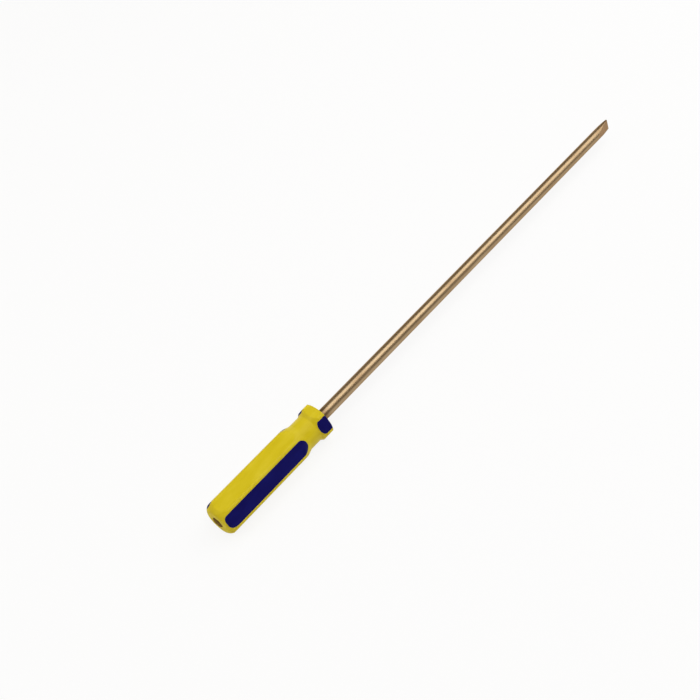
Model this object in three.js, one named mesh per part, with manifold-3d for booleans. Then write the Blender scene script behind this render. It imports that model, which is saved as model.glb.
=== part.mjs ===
// Strike-through slotted screwdriver: one copper-alloy bar runs from the ground tip,
// through a hexagonal two-colour plastic handle, to a strike end at the butt.
// Millimetres. The tool's axis is X, from the strike face (x = 0) to the tip, and +Z is up
// as the tool lies on a bench with a yellow flat of the handle facing up.

import * as THREE from 'three';
import { mergeVertices } from 'three/addons/utils/BufferGeometryUtils.js';
import Module from 'manifold-3d';

const wasm = await Module();
wasm.setup();

// Shank: a round bar, ground to a chisel tip
const shankDiameter = 8;
const bladeLength = 348;         // from the collar's front face to the tip
const strikeStandoff = 0.5;      // how far the strike end stands out of the butt
const strikeChamfer = 0.6;
const tipThickness = 1.2;
const grindLength = 18;          // length of the two ground flats
const bladeRoll = 15;            // degrees from upright to the tip's edge, its top towards +Y

// Tang wings: flattened ears that stop the bar turning in the handle
const wingSpan = 12.6;
const wingThickness = 2.4;
const wingLength = 14;
const wingRamp = 3;              // length of the slope at each end of a wing
const firstWing = 26;            // from the butt to the first pair of wings
const wingPitch = 26;
const wingPairs = 2;

// Handle: a hexagonal bar with a turned butt, shoulder, neck and collar
const acrossFlats = 24;
const cornerRadius = 2.8;
const turningAllowance = 0.4;    // the turned outline passes this far outside the hexagon's corners
const buttFaceDiameter = 15.6;
const buttRoundLength = 10.7;
const gripLength = 66.7;         // from the butt to where the shoulder starts
const shoulderLength = 10.4;
const neckDiameter = 20.8;
const neckLength = 9.4;
const flareLength = 4.4;
const collarLength = 5.1;
const rimRound = 2.4;
const boreClearance = 0.2;

// Inlays: strips set flush in every other flat, interrupted by the neck
const inlayWidth = 10.8;
const inlayDepth = 1;
const inlayGap = 0.2;

// Fineness of round faces
const turnedSides = 72;
const shankSides = 48;
const cornerSteps = 5;
const arcSteps = 10;
const overrun = 2;               // how far a cutting tool passes the face that it cuts

const yellowPlastic = new THREE.MeshStandardMaterial({ color: 0xd8c022, roughness: 0.38, metalness: 0 });
const navyPlastic = new THREE.MeshStandardMaterial({ color: 0x171b5e, roughness: 0.34, metalness: 0 });
const copperAlloy = new THREE.MeshStandardMaterial({ color: 0xc39a63, roughness: 0.3, metalness: 1 });

// Radii that follow from the sizes above
const hexagonSides = 6;
const sideAngle = (2 * Math.PI) / hexagonSides;
const cornerStretch = 1 / Math.cos(sideAngle / 2);   // a sharp corner's radius over the flat's
const shankRadius = shankDiameter / 2;
const boreRadius = shankRadius + boreClearance;
const flatRadius = acrossFlats / 2;
const sharpCorner = flatRadius * cornerStretch;
const roundedCorner = sharpCorner - cornerRadius * (cornerStretch - 1);
const turnedRadius = roundedCorner + turningAllowance;
const buttFaceRadius = buttFaceDiameter / 2;
const neckRadius = neckDiameter / 2;

// Places along the axis, from the strike face to the tip
const buttX = strikeStandoff;
const shoulderX = buttX + gripLength;
const neckX = shoulderX + shoulderLength;
const flareX = neckX + neckLength;
const collarX = flareX + flareLength;
const frontX = collarX + collarLength;
const tipX = frontX + bladeLength;
const neckMiddle = (neckX + flareX) / 2;

// Turns about the axis: the tip's edge and wings, and the flats that hold the inlays
const shankRoll = -THREE.MathUtils.degToRad(bladeRoll);
const inlayRolls = { left: -sideAngle, right: sideAngle, bottom: Math.PI };

// A closed solid from a three.js geometry: shared vertices merged, collapsed triangles left out
function solidFrom(geometry) {
  const bare = geometry.clone();
  bare.deleteAttribute('normal');
  bare.deleteAttribute('uv');
  const merged = mergeVertices(bare);
  const corners = merged.index.array;
  const kept = [];
  for (let i = 0; i < corners.length; i += 3) {
    const [a, b, c] = corners.slice(i, i + 3);
    if (a !== b && b !== c && c !== a) kept.push(a, b, c);
  }
  return new wasm.Manifold(new wasm.Mesh({
    numProp: 3,
    vertProperties: new Float32Array(merged.attributes.position.array),
    triVerts: new Uint32Array(kept),
  }));
}

// A named mesh from a solid
function meshFrom(solid, name, material) {
  const { vertProperties, triVerts } = solid.getMesh();
  const geometry = new THREE.BufferGeometry();
  geometry.setAttribute('position', new THREE.BufferAttribute(vertProperties, 3));
  geometry.setIndex(new THREE.BufferAttribute(triVerts, 1));
  geometry.computeVertexNormals();
  const mesh = new THREE.Mesh(geometry, material);
  mesh.name = name;
  return mesh;
}

// A body turned about X from [distance along X, radius] points
function turned(profile, sides) {
  const points = profile.map(([x, radius]) => new THREE.Vector2(radius, x));
  const geometry = new THREE.LatheGeometry(points, sides);
  geometry.rotateZ(-Math.PI / 2);
  return solidFrom(geometry);
}

// A plate: an outline in the XZ plane, extruded to a thickness centred on Y = 0, then rolled about X
function plate(outline, thickness, roll) {
  const shape = new THREE.Shape(outline.map(([x, z]) => new THREE.Vector2(x, z)));
  const geometry = new THREE.ExtrudeGeometry(shape, { depth: thickness, bevelEnabled: false });
  geometry.translate(0, 0, -thickness / 2);
  geometry.rotateX(Math.PI / 2 + roll);
  return solidFrom(geometry);
}

// Points of a quarter of an ellipse, which leaves startX square to the axis and ends along it
function quarterEllipse(startX, length, startRadius, rise) {
  const points = [];
  for (let i = 0; i <= arcSteps; i += 1) {
    const turn = (i / arcSteps) * (Math.PI / 2);
    points.push([startX + length * (1 - Math.cos(turn)), startRadius + rise * Math.sin(turn)]);
  }
  return points;
}

// The bar that the handle is turned from: a hexagon with rounded corners, one flat facing up
function hexagonBar() {
  const shape = new THREE.Shape();
  const reach = (flatRadius - cornerRadius) * cornerStretch;
  for (let side = 0; side < hexagonSides; side += 1) {
    const corner = side * sideAngle;
    const [across, up] = [reach * Math.cos(corner), reach * Math.sin(corner)];
    shape.absarc(across, up, cornerRadius, corner - sideAngle / 2, corner + sideAngle / 2, false);
  }
  shape.closePath();
  const depth = frontX - buttX + 2 * overrun;
  const geometry = new THREE.ExtrudeGeometry(shape, { depth, bevelEnabled: false, curveSegments: cornerSteps });
  geometry.translate(0, 0, buttX - overrun);
  geometry.rotateX(Math.PI / 2);
  geometry.rotateZ(Math.PI / 2);
  return solidFrom(geometry);
}

// The handle's turned outline: round edge at the butt, shoulder, neck, flare, collar and rim
function turnedOutline() {
  const rim = quarterEllipse(frontX, -rimRound, turnedRadius - rimRound, rimRound).reverse();
  return turned([
    [buttX, 0],
    ...quarterEllipse(buttX, buttRoundLength, buttFaceRadius, turnedRadius - buttFaceRadius),
    [shoulderX, turnedRadius],
    [neckX, neckRadius],
    [flareX, neckRadius],
    [collarX, turnedRadius],
    ...rim,
    [frontX, 0],
  ], turnedSides);
}

// A straight strip in the flat that faces up, from its floor to outside the bar, rolled to its own flat
function strip(startX, endX, width, floorRadius, roll) {
  const topRadius = sharpCorner + overrun;
  const geometry = new THREE.BoxGeometry(endX - startX, width, topRadius - floorRadius);
  geometry.translate((startX + endX) / 2, 0, (topRadius + floorRadius) / 2);
  geometry.rotateX(roll);
  return solidFrom(geometry);
}

// Every pair of wings along the tang, in the plane of the tip's edge and grown by a clearance
function wings(clearance) {
  const rootHalf = shankRadius / 2;
  const tipHalf = wingSpan / 2 + clearance;
  const pairs = [];
  for (let pair = 0; pair < wingPairs; pair += 1) {
    const start = buttX + firstWing + pair * wingPitch - clearance;
    const end = start + wingLength + 2 * clearance;
    const outline = [
      [start, -rootHalf], [start + wingRamp, -tipHalf], [end - wingRamp, -tipHalf], [end, -rootHalf],
      [end, rootHalf], [end - wingRamp, tipHalf], [start + wingRamp, tipHalf], [start, rootHalf],
    ];
    pairs.push(plate(outline, wingThickness + 2 * clearance, shankRoll));
  }
  return pairs;
}

// What grinding takes off one side of the tip: a wedge that leaves half of the tip's thickness
function tipWedge(side) {
  const slope = (shankRadius - tipThickness / 2) / grindLength;
  const start = tipX - grindLength - overrun;
  const end = tipX + overrun;
  const outer = shankRadius + overrun;
  const outline = [
    [start, side * (shankRadius + slope * overrun)],
    [end, side * (tipThickness / 2 - slope * overrun)],
    [end, side * outer],
    [start, side * outer],
  ];
  return plate(outline, shankDiameter + 2 * overrun, shankRoll + Math.PI / 2);
}

// The bar: chamfered strike end, tang with wings, round blade and ground tip
function throughShank() {
  let solid = turned([
    [0, 0],
    [0, shankRadius - strikeChamfer],
    [strikeChamfer, shankRadius],
    [tipX, shankRadius],
    [tipX, 0],
  ], shankSides);
  for (const side of [1, -1]) solid = solid.subtract(tipWedge(side));
  for (const pair of wings(0)) solid = solid.add(pair);
  return solid;
}

// The handle's yellow body: bored for the tang, slotted for the wings and for the inlays
function handleBody(envelope) {
  const [start, end] = [buttX - overrun, frontX + overrun];
  const bore = turned([[start, 0], [start, boreRadius], [end, boreRadius], [end, 0]], shankSides);
  let solid = envelope.subtract(bore);
  for (const pair of wings(boreClearance)) solid = solid.subtract(pair);
  const slotWidth = inlayWidth + 2 * inlayGap;
  const slotFloor = flatRadius - inlayDepth - inlayGap;
  for (const roll of Object.values(inlayRolls)) {
    solid = solid.subtract(strip(start, end, slotWidth, slotFloor, roll));
  }
  return solid;
}

// One inlay: what the handle's outline leaves of a strip between two places along the axis
function inlay(envelope, startX, endX, roll) {
  return envelope.intersect(strip(startX, endX, inlayWidth, flatRadius - inlayDepth, roll));
}

const envelope = hexagonBar().intersect(turnedOutline());
const screwdriver = new THREE.Group();
screwdriver.add(meshFrom(throughShank(), 'through_shank', copperAlloy));
screwdriver.add(meshFrom(handleBody(envelope), 'handle_body', yellowPlastic));
for (const [side, roll] of Object.entries(inlayRolls)) {
  const grip = inlay(envelope, buttX - overrun, neckMiddle - inlayGap / 2, roll);
  const collar = inlay(envelope, neckMiddle + inlayGap / 2, frontX + overrun, roll);
  screwdriver.add(meshFrom(grip, `grip_inlay_${side}`, navyPlastic));
  screwdriver.add(meshFrom(collar, `collar_inlay_${side}`, navyPlastic));
}

export default screwdriver;
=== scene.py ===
import math

import bmesh
import bpy
import numpy as np
from mathutils import Matrix


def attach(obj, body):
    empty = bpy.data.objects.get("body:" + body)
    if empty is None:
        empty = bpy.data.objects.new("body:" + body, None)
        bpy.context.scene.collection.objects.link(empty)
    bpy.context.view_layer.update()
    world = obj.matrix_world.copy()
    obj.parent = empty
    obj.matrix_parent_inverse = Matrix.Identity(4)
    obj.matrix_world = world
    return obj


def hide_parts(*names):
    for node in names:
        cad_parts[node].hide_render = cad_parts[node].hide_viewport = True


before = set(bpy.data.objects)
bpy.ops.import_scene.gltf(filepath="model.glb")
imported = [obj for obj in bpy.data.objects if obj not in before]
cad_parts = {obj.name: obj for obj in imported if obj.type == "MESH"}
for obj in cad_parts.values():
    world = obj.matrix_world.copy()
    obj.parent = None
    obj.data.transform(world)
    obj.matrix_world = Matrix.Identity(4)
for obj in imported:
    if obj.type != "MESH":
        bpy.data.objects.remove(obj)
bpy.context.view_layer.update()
print("stage 1: frame loaded,", len(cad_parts), "nodes")

mm = 0.001
tiny = 1e-9
quarterTurn = math.pi / 2       # also the angle about X of the flat that faces up
halfSide = math.pi / 6          # half of the angle that one side of the hexagon takes up
sideCount = 6

meshing = {
    "profileSamples": 4000,     # points on which a turned profile is smoothed
    "leastKernel": 3,
    "mergeDistance": 1e-7,      # metres
}


# smooth minimum of two fields: the mean less half of a rounded distance
def softMin(a, b, soft):
    return 0.5 * (a + b - np.sqrt((a - b) ** 2 + soft ** 2))


# running mean over a width, which rounds the corners of a profile given by a few knots
def rounded(knots, values, width):
    margin = 3 * width
    fine = np.linspace(knots[0] - margin, knots[-1] + margin, meshing["profileSamples"])
    kernel = np.hanning(max(meshing["leastKernel"], int(width / (fine[1] - fine[0]))))
    smooth = np.convolve(np.interp(fine, knots, values), kernel / kernel.sum(), "same")
    return fine, smooth


# points on rings about X: (x, radius cos angle, radius sin angle)
def ringPoints(x, radius, angle):
    across, upwards = radius * np.cos(angle), radius * np.sin(angle)
    return np.stack([np.broadcast_to(x[:, None], across.shape), across, upwards], axis=-1)


# rows that fill a flat face between two rings: (1 - t) first + t last
def faceRows(first, last, steps):
    t = np.linspace(0, 1, steps)[1:-1, None, None]
    return first[None] * (1 - t) + last[None] * t


# a ring drawn together to its middle, which closes an end
def closedEnd(ring):
    return np.repeat(ring.mean(1, keepdims=True), ring.shape[1], 1)


# mesh from a grid of points: each row is a closed ring, and the last row joins the first when wrapRows
def gridMesh(name, points, wrapRows=False):
    rows, cols = points.shape[:2]
    usedRows = np.arange(rows if wrapRows else rows - 1)
    row, col = np.meshgrid(usedRows, np.arange(cols), indexing="ij")
    nextRow, nextCol = (row + 1) % rows, (col + 1) % cols
    corners = [row * cols + col, row * cols + nextCol, nextRow * cols + nextCol, nextRow * cols + col]
    quads = np.stack(corners, axis=-1).reshape(-1, 4)
    mesh = bpy.data.meshes.new(name)
    mesh.from_pydata((points.reshape(-1, 3) * mm).tolist(), [], quads.tolist())
    mesh.validate()
    piece = bpy.data.objects.new(name, mesh)
    bpy.context.scene.collection.objects.link(piece)
    return piece


# joins doubled points, points the faces outwards and shades them smooth with sharp edges kept
def finishMesh(piece, sharpAngle):
    shape = bmesh.new()
    shape.from_mesh(piece.data)
    bmesh.ops.remove_doubles(shape, verts=shape.verts, dist=meshing["mergeDistance"])
    bmesh.ops.dissolve_degenerate(shape, dist=meshing["mergeDistance"], edges=shape.edges)
    bmesh.ops.recalc_face_normals(shape, faces=shape.faces)
    shape.to_mesh(piece.data)
    shape.free()
    piece.data.shade_smooth()
    piece.data.set_sharp_from_angle(angle=math.radians(sharpAngle))
    return piece


# handle: millimetres, with the outline of the solids
handle = {
    "buttX": 0.5, "shoulderX": 67.2, "neckX": 77.6, "flareX": 87.0, "collarX": 91.4, "frontX": 96.5,
    "flat": 12.0, "cornerRadius": 2.8, "turnedRadius": 13.823, "neckRadius": 10.4,
    "buttFace": 7.8, "buttRound": 10.7, "rimRound": 2.4,
    "overrun": 20.0,            # how far the turned profile runs past both ends
    "edgeSoft": 0.16,           # softness where flats and turned faces meet
    "turnSoft": 1.0,            # width over which the turned profile is smoothed
    "bore": 4.05, "mouth": 0.35, "wingClearance": 0.1,
    "rimRows": 20, "buttRows": 56, "gripRows": 40, "neckRows": 130,
    "wallGap": 0.005,           # a pair of rows this far to each side makes the wall at a slot's end
    "padColumns": 17, "seamColumns": (0.0001, 0.5, 1.0), "cornerColumns": 13,
    "leadRows": (94.5, 68.0, 6), "wingRows": (67.0, 25.0, 90),      # bore: from, to and how many
    "faceRows": 8, "sharpAngle": 38.0,
}


# turned outline of the handle: radius at each x, butt ellipse, grip, shoulder, neck, flare, collar, rim
def turnedRadius(x):
    h = handle
    full, neck = h["turnedRadius"], h["neckRadius"]
    startX, endX = h["buttX"] - h["overrun"], h["frontX"] + h["overrun"]
    knots = [startX, h["shoulderX"], h["neckX"], h["flareX"], h["collarX"], endX]
    fine, smooth = rounded(knots, [full, full, neck, neck, full, full], h["turnSoft"])
    body = np.interp(x, fine, smooth)
    t = np.clip((x - h["buttX"]) / h["buttRound"], 0, 1)
    butt = h["buttFace"] + (full - h["buttFace"]) * np.sqrt(1 - (1 - t) ** 2)
    s = np.clip((h["frontX"] - x) / h["rimRound"], 0, 1)
    rim = full - h["rimRound"] * (1 - np.sqrt(1 - (1 - s) ** 2))
    return np.minimum(np.minimum(body, butt), rim)


# radius of the hexagon at an angle from a flat's middle: flat / cos theta, then the corner's arc
def hexRadius(theta):
    h = handle
    inner = h["flat"] - h["cornerRadius"]
    centre = inner / math.cos(halfSide)
    flatEnd = math.atan(inner * math.tan(halfSide) / h["flat"])
    off = halfSide - np.abs(theta)
    chord = np.sqrt(np.maximum(h["cornerRadius"] ** 2 - (centre * np.sin(off)) ** 2, 0))
    return np.where(np.abs(theta) < flatEnd, h["flat"] / np.cos(theta), centre * np.cos(off) + chord)


# outside radius of the handle: the hexagon's radius, cut by the turned face
def outsideRadius(theta, x):
    return softMin(hexRadius(theta), turnedRadius(x), handle["edgeSoft"])


# inlays: navy pads in every other flat, in millimetres
inlay = {
    "halfWidth": 5.4, "depth": 0.8, "fit": 0.02, "seamWidth": 0.16, "seamDepth": 0.09,
    "leastHalf": 1.2, "gripMiddle": 35.0, "neckMiddle": 82.3,
    "ends": {"butt": (10.5, 2.2), "shoulder": (11.1, 0.9), "collar": (10.85, 1.0)},   # floor, softness
    "gripRows": 200, "collarRows": 44,
    "crowding": 0.55,           # how far the rows crowd towards a pad's ends
    "middleColumns": 25, "middleShare": 0.93, "edgeColumns": (0.966, 0.985, 1.0),
    "spanSamples": 20000, "firstAngle": 0.3, "angleRounds": 12, "sharpAngle": 38.0,
}


# half width of a pad: its own width or what the turned face leaves over the floor, whichever is less;
# a soft minimum w of a and b has (a - w)(b - w) = soft^2 / 4, which gives the limit for a full width
def padHalf(x, end):
    floor, soft = inlay["ends"][end]
    free = np.sqrt(np.maximum(turnedRadius(x) ** 2 - floor ** 2, 0))
    widest = math.sqrt(handle["turnedRadius"] ** 2 - floor ** 2)
    limit = inlay["halfWidth"] + soft ** 2 / (4 * (widest - inlay["halfWidth"]))
    return softMin(limit, free, soft)


# half width along the whole handle; the collar's pads keep their width round the rim
def padOutline(x):
    grip = np.where(x < inlay["gripMiddle"], padHalf(x, "butt"), padHalf(x, "shoulder"))
    collar = padHalf(np.minimum(x, handle["frontX"] - handle["rimRound"]), "collar")
    return np.where(x < inlay["neckMiddle"], grip, collar)


# where the grip's pads and the collar's pads start and end
def padSpans():
    x = np.linspace(handle["buttX"], handle["frontX"], inlay["spanSamples"])
    wide = padOutline(x) >= inlay["leastHalf"]
    grip = x[wide & (x < inlay["neckMiddle"])]
    collar = x[wide & (x > inlay["neckMiddle"])]
    return (grip[0], grip[-1]), (collar[0], handle["frontX"])


# angle from a flat's middle to the pad's edge: repeated theta = asin(half width / radius)
def padAngle(x, grow):
    half = np.maximum(padOutline(x), inlay["leastHalf"]) + grow
    theta = np.full_like(x, inlay["firstAngle"])
    for _ in range(inlay["angleRounds"]):
        theta = np.arcsin(half / outsideRadius(theta, x))
    return theta[:, None]


# pad: theta = a edge(x) on the handle's outside, with a fine groove round its edge, and a floor below
def makeInlay(name, turn, span, rows):
    i = inlay
    startX, endX = span[0] + i["fit"], span[1] - i["fit"]
    even = np.linspace(0, 1, rows)
    eased = 0.5 - 0.5 * np.cos(math.pi * even)
    x = startX + (endX - startX) * (i["crowding"] * eased + (1 - i["crowding"]) * even)
    edge = padAngle(x, 0.0)
    middle = np.linspace(-i["middleShare"], i["middleShare"], i["middleColumns"])
    outer = np.array(i["edgeColumns"])
    a = np.concatenate([-outer[::-1], middle, outer])[None]
    theta = a * edge
    outside = outsideRadius(theta, x[:, None])
    fromSides = (edge - np.abs(theta)) * handle["flat"]
    fromEnds = np.minimum(x - startX, endX - x)[:, None]
    toEdge = np.minimum(fromSides, fromEnds)
    top = outside - i["seamDepth"] * np.clip(1 - toEdge / i["seamWidth"], 0, 1)
    under = outside - i["depth"] + i["fit"]
    radius = np.concatenate([top, under[:, ::-1]], axis=1)
    angle = turn + np.concatenate([theta, theta[:, ::-1]], axis=1)
    points = ringPoints(x, radius, angle)
    capped = np.concatenate([closedEnd(points[:1]), points, closedEnd(points[-1:])])
    return finishMesh(gridMesh(name, capped), i["sharpAngle"])


# shank: millimetres, with the outline of the solid
shank = {
    "radius": 4.0, "tipX": 444.5, "chamfer": 0.6, "grind": 18.0, "tipHalf": 0.6, "roll": 15.0,
    "wingReach": 6.3, "wingRoot": 2.0, "wingHalf": 1.2, "wingLength": 14.0, "wingRamp": 3.0,
    "wingStarts": (26.5, 52.5),
    "edgeSoft": 0.05,           # softness of the ground flats' edges
    "columns": 160, "faceRings": (0.0, 1.2, 2.4),
    "chamferBend": (0.2, 0.55),                     # a ring on the chamfer, in shares of it
    "tangRows": (1.0, 25.5, 12), "wingRows": (26.0, 68.0, 110),     # from, to and how many
    "bladeStart": 70.0, "bladeRows": 150, "bladeGap": 2.0,
    "groundRows": 70, "groundLead": 1.6,
    "tipRings": (0.7, 0.4, 0.0),
    "maskWidth": 0.12, "maskShift": 0.4,            # how the ground finish fades at its edge
    "sharpAngle": 30.0,
}
edgeTurn = quarterTurn - math.radians(shank["roll"])    # angle about X of the tip's edge and the wings


# wing plate seen from the axis: distance to a rectangle of half sizes reach and half, at angle phi
def wingRadius(phi, x, grow):
    s = shank
    flatSide = (s["wingHalf"] + grow) / np.maximum(np.abs(np.sin(phi)), tiny)
    total = np.zeros(np.broadcast(phi, x).shape)
    for start in s["wingStarts"]:
        into = np.minimum(x - start + grow, start + s["wingLength"] + grow - x)
        rise = (s["wingReach"] + grow - s["wingRoot"]) * np.clip(into / s["wingRamp"], 0, 1)
        reach = np.where(into < 0, 0.0, s["wingRoot"] + rise)
        endSide = reach / np.maximum(np.abs(np.cos(phi)), tiny)
        total = np.maximum(total, np.minimum(flatSide, endSide))
    return total


# shank: circle (u, v) at each x, v cut to the ground flats near the tip, wings on the tang
def makeShank():
    s = shank
    full, chamfer, tipX = s["radius"], s["chamfer"], s["tipX"]
    groundX = tipX - s["grind"]
    bendX, bendDrop = s["chamferBend"]
    strike = [(0.0, ring) for ring in (*s["faceRings"], full - chamfer)]
    strike += [(bendX * chamfer, full - bendDrop * chamfer), (chamfer, full)]
    strikeX, strikeRadius = np.array(strike).T
    along = np.concatenate([
        np.linspace(*s["tangRows"]), np.linspace(*s["wingRows"]),
        np.linspace(s["bladeStart"], groundX - s["bladeGap"], s["bladeRows"]),
        np.linspace(groundX - s["groundLead"], tipX, s["groundRows"])])
    closing = np.array(s["tipRings"])
    x = np.concatenate([strikeX, along, np.full(len(closing), tipX)])[:, None]
    radius = np.concatenate([strikeRadius, np.full(len(along), full), full * closing])[:, None]
    phi = np.linspace(0, 2 * math.pi, s["columns"], endpoint=False)[None]
    radius = np.maximum(radius, np.where(x > chamfer, wingRadius(phi, x, 0.0), 0))
    u, v = radius * np.cos(phi), radius * np.sin(phi)
    fromTip = np.clip(tipX - x, 0, None)
    shrink = np.where(x >= tipX - tiny, radius / full, 1.0)
    limit = (s["tipHalf"] + (full - s["tipHalf"]) * fromTip / s["grind"]) * shrink
    onFlat = np.clip((np.abs(v) - limit) / s["maskWidth"] + s["maskShift"], 0, 1)
    groundMask = onFlat * (fromTip < s["grind"])
    cut = np.sign(v) * softMin(np.abs(v), limit, s["edgeSoft"])
    nearTip = (fromTip < s["grind"] + s["bladeGap"]) & (radius > 0) & (np.abs(v) >= tiny)
    v = np.where(nearTip, cut, v)
    y = u * math.cos(edgeTurn) - v * math.sin(edgeTurn)
    z = u * math.sin(edgeTurn) + v * math.cos(edgeTurn)
    piece = gridMesh("throughShank", np.stack([np.broadcast_to(x, y.shape), y, z], axis=-1))
    layer = piece.data.attributes.new("ground", "FLOAT", "POINT")
    layer.data.foreach_set("value", groundMask.reshape(-1).astype(np.float32))
    return finishMesh(piece, s["sharpAngle"])


# x places along the handle, close together where the outline bends, and in pairs at the slots' ends
def handleStations():
    h = handle
    rimX, gripX = h["frontX"] - h["rimRound"], h["buttX"] + h["buttRound"]
    rim = h["frontX"] - h["rimRound"] * (1 - np.cos(np.linspace(0, quarterTurn, h["rimRows"])))[::-1]
    butt = h["buttX"] + h["buttRound"] * (1 - np.cos(np.linspace(0, quarterTurn, h["buttRows"])))
    grip = np.linspace(gripX, h["shoulderX"], h["gripRows"])
    neck = np.linspace(h["shoulderX"], rimX, h["neckRows"])
    (gripStart, gripEnd), (collarStart, _) = padSpans()
    slotEnds = np.array([gripStart, gripEnd, collarStart])
    walls = [slotEnds - h["wallGap"], slotEnds + h["wallGap"]]
    return np.unique(np.concatenate([butt, grip[1:], neck[1:], rim[1:], *walls]))


# x places along the bore from the front to the butt, close together at the wings
def boreStations():
    h = handle
    front, butt, mouth = h["frontX"], h["buttX"], h["mouth"]
    middle = [np.linspace(*h["leadRows"]), np.linspace(*h["wingRows"])]
    return np.concatenate([[front, front - mouth], *middle, [butt + mouth, butt]])


# handle body: r(theta, x) on six sides, lowered inside the pads' outline on every other side, closed by
# the butt face, the front face and the bore
def makeHandle():
    h, i = handle, inlay
    x = handleStations()
    edge = padAngle(x, i["fit"])
    seam = i["seamWidth"] / h["flat"]
    inner = np.linspace(-1, 1, h["padColumns"])[None] * edge
    near = edge + np.array([h["seamColumns"]]) * seam
    seamEnd = near[:, -1:]
    far = seamEnd + (halfSide - seamEnd) * np.linspace(0, 1, h["cornerColumns"])[None, 1:]
    theta = np.concatenate([-far[:, -2::-1], -near[:, ::-1], inner, near, far], axis=1)
    plain = outsideRadius(theta, x[:, None])
    fromEdge = np.abs(theta) - edge
    groove = i["seamDepth"] * np.clip(1 - fromEdge / seam, 0, 1)
    lowered = np.where(fromEdge > tiny, groove, i["depth"])
    inPad = np.zeros(len(x), bool)
    for start, end in padSpans():
        inPad |= (x > start) & (x <= end)
    slotted = plain - np.where(inPad[:, None], lowered, 0.0)
    sides = range(sideCount)
    radius = np.concatenate([slotted if side % 2 == 1 else plain for side in sides], axis=1)
    angle = np.concatenate([quarterTurn + 2 * halfSide * side + theta for side in sides], axis=1)
    outside = ringPoints(x, radius, angle)

    boreX = boreStations()
    share = ((h["frontX"] - boreX) / (h["frontX"] - h["buttX"]))[:, None]
    boreAngle = angle[-1:] * (1 - share) + angle[:1] * share
    fromMouth = np.minimum(h["frontX"] - boreX, boreX - h["buttX"])
    roundBore = h["bore"] + np.maximum(h["mouth"] - fromMouth, 0)
    wings = wingRadius(boreAngle - edgeTurn, boreX[:, None], h["wingClearance"])
    bore = ringPoints(boreX, np.maximum(roundBore[:, None], wings), boreAngle)

    front = faceRows(outside[-1], bore[0], h["faceRows"])
    butt = faceRows(bore[-1], outside[0], h["faceRows"])
    points = np.concatenate([outside, front, bore, butt])
    return finishMesh(gridMesh("handleBody", points, wrapRows=True), h["sharpAngle"])


# wraps a socket, so that shader maths reads as Python
class Wire:
    def __init__(self, tree, socket):
        self.tree, self.socket = tree, socket

    def math(self, operation, first, second):
        return self.tree.node("ShaderNodeMath", {"operation": operation}, {0: first, 1: second})

    def __add__(self, other):
        return self.math("ADD", self, other)

    __radd__ = __add__

    def __mul__(self, other):
        return self.math("MULTIPLY", self, other)

    __rmul__ = __mul__

    def __sub__(self, other):
        return self.math("SUBTRACT", self, other)

    def __rsub__(self, other):
        return self.math("SUBTRACT", other, self)


# a node tree: one method makes any node from its type, settings and sockets
class Tree:
    def __init__(self, tree):
        self.nodes, self.links = tree.nodes, tree.links

    def node(self, kind, settings=None, sockets=None, out=0):
        made = self.nodes.new(kind)
        for key, value in (settings or {}).items():
            setattr(made, key, value)
        for key, value in (sockets or {}).items():
            self.plug(made.inputs[key], value)
        return Wire(self, made.outputs[out])

    def plug(self, socket, value):
        if isinstance(value, Wire):
            self.links.new(value.socket, socket)
        else:
            socket.default_value = value

    def axis(self, coordinates, letter):
        at = self.node("ShaderNodeTexCoord", out=coordinates)
        return self.node("ShaderNodeSeparateXYZ", {}, {0: at}, out=letter)

    def noise(self, scale, detail, rough):
        at = self.node("ShaderNodeTexCoord", out="Object")
        placed = self.node("ShaderNodeMapping", {}, {"Vector": at, "Scale": scale})
        return self.node("ShaderNodeTexNoise", {}, {
            "Vector": placed, "Scale": 1.0, "Detail": detail, "Roughness": rough})

    def steps(self, value, low, high):
        return self.node("ShaderNodeMapRange", {"interpolation_type": "SMOOTHSTEP"}, {
            "Value": value, "From Min": low, "From Max": high})

    def mix(self, factor, first, second):
        return self.node("ShaderNodeMix", {"data_type": "RGBA"}, {0: factor, 6: first, 7: second}, out=2)

    def bump(self, height, distance, strength):
        return self.node("ShaderNodeBump", {}, {
            "Height": height, "Distance": distance, "Strength": strength})


# a material and its Principled shader
class Finish(Tree):
    def __init__(self, name):
        self.material = bpy.data.materials.new(name)
        self.material.use_nodes = True
        super().__init__(self.material.node_tree)
        self.shader = self.nodes["Principled BSDF"]

    def set(self, inputs):
        for key, value in inputs.items():
            self.plug(self.shader.inputs[key], value)


# sRGB bytes to the linear colour of a socket
def linear(r, g, b):
    values = np.array([r, g, b]) / 255.0
    done = np.where(values <= 0.04045, values / 12.92, ((values + 0.055) / 1.055) ** 2.4)
    return (*[float(v) for v in done], 1.0)


# plastics: colours in sRGB bytes, noises as scale, detail and roughness, steps as from and to
plastic = {
    "yellow": {"main": (215, 194, 20), "pale": (221, 201, 42), "deep": (205, 181, 16)},
    "navy": {"main": (11, 8, 91), "pale": (16, 16, 101), "deep": (8, 5, 79)},
    "rough": {"yellow": 0.38, "navy": 0.32},
    "gloss": {"yellow": 0.18, "navy": 0.07},
    "ior": 1.49,
    "cloud": ((45, 160, 160), 4.0, 0.55), "speck": ((900, 900, 900), 2.0, 0.55),
    "scuff": ((120, 1500, 1500), 3.0, 0.6), "peel": ((1400, 1400, 1400), 2.0, 0.55),
    "paleSteps": (0.40, 0.72), "deepSteps": (0.46, 0.24), "deepShare": 0.7,
    "speckSteps": (0.71, 0.76), "speckShare": 0.6,
    "scuffSteps": (0.56, 0.74), "scuffRough": 0.10, "cloudRough": 0.06,
    "wornSteps": (0.010, 0.002), "wornRough": 0.20,     # metres from the butt
    "peelHeight": 0.6, "scuffHeight": 0.25, "bumpDepth": 0.00004, "bumpStrength": 0.5,
}


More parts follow.
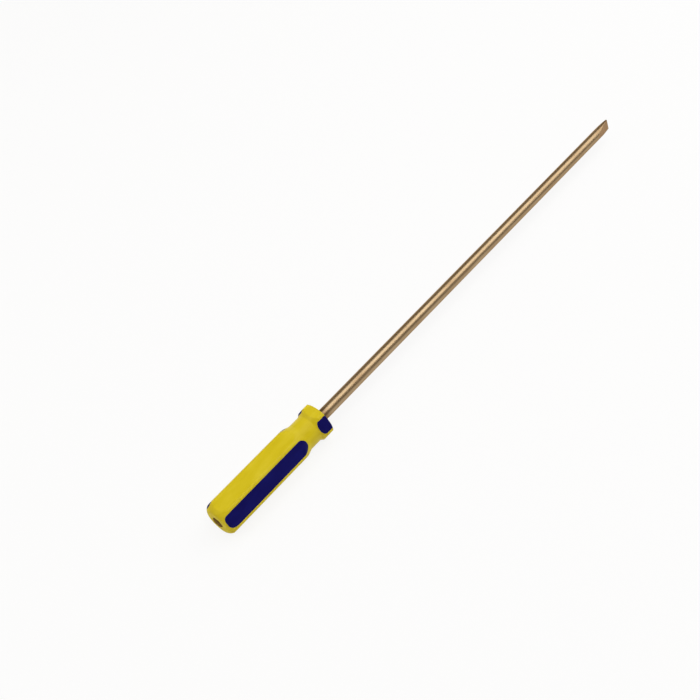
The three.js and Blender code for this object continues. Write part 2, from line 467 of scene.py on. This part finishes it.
# moulded plastic: clouded colour, fine orange-peel bump, rubbed and dirty specks, a dull worn butt
def makePlastic(name, kind):
    p = plastic
    f = Finish(name)
    colours = {key: linear(*tone) for key, tone in p[kind].items()}
    cloud, speck = f.noise(*p["cloud"]), f.noise(*p["speck"])
    scuff, peel = f.noise(*p["scuff"]), f.noise(*p["peel"])
    colour = f.mix(f.steps(cloud, *p["paleSteps"]), colours["main"], colours["pale"])
    colour = f.mix(f.steps(cloud, *p["deepSteps"]) * p["deepShare"], colour, colours["deep"])
    colour = f.mix(f.steps(speck, *p["speckSteps"]) * p["speckShare"], colour, colours["deep"])
    rubbed = f.steps(scuff, *p["scuffSteps"])
    worn = f.steps(f.axis("Object", "X"), *p["wornSteps"])
    rough = p["rough"][kind] + rubbed * p["scuffRough"] + cloud * p["cloudRough"] + worn * p["wornRough"]
    height = peel * p["peelHeight"] + scuff * p["scuffHeight"]
    bump = f.bump(height, p["bumpDepth"], p["bumpStrength"])
    f.set({"Base Color": colour, "Roughness": rough, "Normal": bump,
           "IOR": p["ior"], "Specular IOR Level": p["gloss"][kind]})
    return f.material


# metal: colours in sRGB bytes, noises as scale, detail and roughness, steps as from and to
metal = {
    "colours": {
        "bar": (168, 145, 113), "barPale": (178, 156, 124), "barBrown": (150, 116, 80),
        "flat": (166, 138, 108), "flatPale": (180, 152, 120),
        # the last colour is painted shade on the shank where it comes out of the handle
        "strike": (124, 100, 50), "strikeDark": (88, 70, 34), "collarShade": (112, 84, 52),
    },
    "edgeTint": (0.72, 0.56, 0.42, 1.0),
    "lines": ((6, 2200, 2200), 2.0, 0.5), "tarnish": ((40, 220, 220), 4.0, 0.6),
    "cross": ((3200, 160, 160), 2.0, 0.6), "ding": ((420, 420, 420), 6.0, 0.65),
    "paleSteps": (0.45, 0.75), "brownSteps": (0.46, 0.26), "brownShare": 0.55,
    "lineSteps": (0.52, 0.78), "lineShare": 0.22,
    "crossSteps": (0.4, 0.65), "dingSteps": (0.25, 0.75),
    "collarShadeSteps": (0.1070, 0.0975), "collarShadeShare": 0.75,     # metres, painted shade: browner where the handle starts
    "struckSteps": (0.0009, 0.0002),                        # metres from the strike face
    "rough": 0.30, "lineRough": 0.06, "dullSteps": (0.5, 0.3), "dullRough": 0.08,
    "groundRough": 0.14, "struckRough": 0.16,
    "lineHeight": 0.5, "crossHeight": 0.9, "dingHeight": 2.0,
    "bumpDepth": 0.00003, "bumpStrength": 0.2,
}


# drawn copper alloy: lengthwise lines, brown tarnish, grinding lines on the tip's flats, a struck end,
# and painted shade on the shank next to the collar
def makeMetal():
    m = metal
    f = Finish("drawnCopperAlloy")
    colours = {key: linear(*tone) for key, tone in m["colours"].items()}
    lines, tarnish = f.noise(*m["lines"]), f.noise(*m["tarnish"])
    cross, ding = f.noise(*m["cross"]), f.noise(*m["ding"])
    x = f.axis("Object", "X")
    ground = f.node("ShaderNodeAttribute", {"attribute_name": "ground"}, out="Fac")
    collarShade, struck = f.steps(x, *m["collarShadeSteps"]), f.steps(x, *m["struckSteps"])
    colour = f.mix(f.steps(tarnish, *m["paleSteps"]), colours["bar"], colours["barPale"])
    colour = f.mix(f.steps(tarnish, *m["brownSteps"]) * m["brownShare"], colour, colours["barBrown"])
    colour = f.mix(f.steps(lines, *m["lineSteps"]) * m["lineShare"], colour, colours["barBrown"])
    groundColour = f.mix(f.steps(cross, *m["crossSteps"]), colours["flat"], colours["flatPale"])
    colour = f.mix(ground, colour, groundColour)
    # painted shade: the shank darkened brown for its first ten millimetres out of the collar
    colour = f.mix(collarShade * m["collarShadeShare"], colour, colours["collarShade"])
    strikeColour = f.mix(f.steps(ding, *m["dingSteps"]), colours["strikeDark"], colours["strike"])
    colour = f.mix(struck, colour, strikeColour)
    rough = m["rough"] + lines * m["lineRough"] + f.steps(tarnish, *m["dullSteps"]) * m["dullRough"]
    rough = rough + ground * m["groundRough"] + struck * m["struckRough"]
    height = lines * (1.0 - ground) * m["lineHeight"] + cross * ground * m["crossHeight"]
    height = height + ding * struck * m["dingHeight"]
    bump = f.bump(height, m["bumpDepth"], m["bumpStrength"])
    f.set({"Base Color": colour, "Roughness": rough, "Normal": bump,
           "Metallic": 1.0, "Specular Tint": m["edgeTint"]})
    return f.material


yellowPlastic = makePlastic("yellowMouldedPlastic", "yellow")
navyPlastic = makePlastic("navyMouldedPlastic", "navy")
copperAlloy = makeMetal()
print("stage 2: materials made")


def dress(piece, material, node):
    piece.data.materials.clear()
    piece.data.materials.append(material)
    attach(piece, "root")
    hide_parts(node)


dress(makeHandle(), yellowPlastic, "handle_body")
dress(makeShank(), copperAlloy, "through_shank")

flatTurns = {
    "right": quarterTurn + 2 * halfSide, "bottom": -quarterTurn, "left": quarterTurn - 2 * halfSide,
}
gripSpan, collarSpan = padSpans()
for side, turn in flatTurns.items():
    grip = makeInlay("gripInlay" + side.capitalize(), turn, gripSpan, inlay["gripRows"])
    dress(grip, navyPlastic, "grip_inlay_" + side)
    collar = makeInlay("collarInlay" + side.capitalize(), turn, collarSpan, inlay["collarRows"])
    dress(collar, navyPlastic, "collar_inlay_" + side)
print("stage 3: pieces made")

# studio: metres and watts
studio = {
    "floorZ": -0.01205, "floorHalf": 40.0, "floorColour": (240, 240, 240), "floorRough": 0.9,
    "glow": 0.88,               # share of plain white in what the camera and reflections see of the floor
    "horizon": (245, 245, 245), "sky": (144, 137, 127),
    "fade": 0.17,               # upward part of a direction at which the horizon has faded into the sky
    "lamps": {                  # place, target, width, length and power
        "overheadSoftbox": ((1.45, -0.25, 1.5), (1.45, -0.25, 0.0), 3.1, 1.5, 29.5),
        "tipSoftbox": ((2.5, -1.45, 1.5), (2.5, -1.45, 0.0), 1.2, 0.9, 6.0),
        "buttFill": ((-0.9, 0.6, 1.1), (0.05, 0.0, 0.0), 1.2, 1.2, 7.5),
    },
}


def makeFloor():
    half = studio["floorHalf"]
    corner = np.array([[-half, -half], [half, -half], [half, half], [-half, half]])
    points = np.concatenate([corner, np.full((4, 1), studio["floorZ"])], axis=1)
    mesh = bpy.data.meshes.new("floor")
    mesh.from_pydata(points.tolist(), [], [[0, 1, 2, 3]])
    floor = bpy.data.objects.new("floor", mesh)
    bpy.context.scene.collection.objects.link(floor)
    f = Finish("paleFloor")
    f.set({"Base Color": linear(*studio["floorColour"]), "Roughness": studio["floorRough"]})
    white = f.node("ShaderNodeEmission", {}, {"Color": (1, 1, 1, 1), "Strength": 1.0})
    kinds = ("Is Camera Ray", "Is Glossy Ray", "Is Transmission Ray")
    camera, glossy, transmission = [f.node("ShaderNodeLightPath", out=kind) for kind in kinds]
    seen = (camera + glossy + transmission) * studio["glow"]
    lit = Wire(f, f.shader.outputs[0])
    blended = f.node("ShaderNodeMixShader", {}, {0: seen, 1: lit, 2: white})
    f.plug(f.nodes["Material Output"].inputs["Surface"], blended)
    mesh.materials.append(f.material)


# sky: as pale as the floor at the horizon, darker and a little warm above
def makeSky():
    world = bpy.data.worlds.new("studio")
    bpy.context.scene.world = world
    world.use_nodes = True
    f = Tree(world.node_tree)
    above = f.steps(f.axis("Generated", "Z"), 0.0, studio["fade"])
    tone = f.mix(above, linear(*studio["horizon"]), linear(*studio["sky"]))
    f.plug(f.nodes["Background"].inputs["Color"], tone)
    f.plug(f.nodes["Background"].inputs["Strength"], 1.0)


# puts an object at a place, with its own three axes
def setPlace(item, right, up, back, place):
    columns = np.stack([right, up, back, place], axis=1)
    item.matrix_world = Matrix([*columns.tolist(), [0, 0, 0, 1]])


# area lamp that looks at a point
def makeLamp(name, place, target, width, length, power):
    light = bpy.data.lights.new(name, "AREA")
    light.shape = "RECTANGLE"
    light.size, light.size_y, light.energy = width, length, power
    made = bpy.data.objects.new(name, light)
    bpy.context.scene.collection.objects.link(made)
    look = np.array(target) - np.array(place)
    look = look / np.linalg.norm(look)
    side = np.cross(look, [0.0, 1.0, 0.0])
    side = side / np.linalg.norm(side)
    setPlace(made, side, np.cross(side, look), -look, place)


makeFloor()
makeSky()
for name, settings in studio["lamps"].items():
    makeLamp(name, *settings)

# camera: fitted to the tool's outline in the photograph
view = {
    "place": (-0.1409, -0.3385, 0.5523), "right": (0.64555, -0.74988, -0.14469),
    "up": (0.64647, 0.43568, 0.62631), "ahead": (0.40662, 0.49785, -0.76603),
    "lens": 53.66, "sensor": 36.0, "clipStart": 0.01,
    "pixels": 700, "shift": (-0.5, 0.5),        # pixels, to the pixels' middles
}
camera = bpy.data.cameras.new("camera")
camera.lens, camera.sensor_width = view["lens"], view["sensor"]
camera.shift_x, camera.shift_y = [pixels / view["pixels"] for pixels in view["shift"]]
camera.clip_start = view["clipStart"]
viewer = bpy.data.objects.new("camera", camera)
bpy.context.scene.collection.objects.link(viewer)
setPlace(viewer, view["right"], view["up"], -np.array(view["ahead"]), view["place"])
bpy.context.scene.camera = viewer
bpy.context.scene.view_settings.view_transform = "Standard"
print("stage 4: studio and camera set")
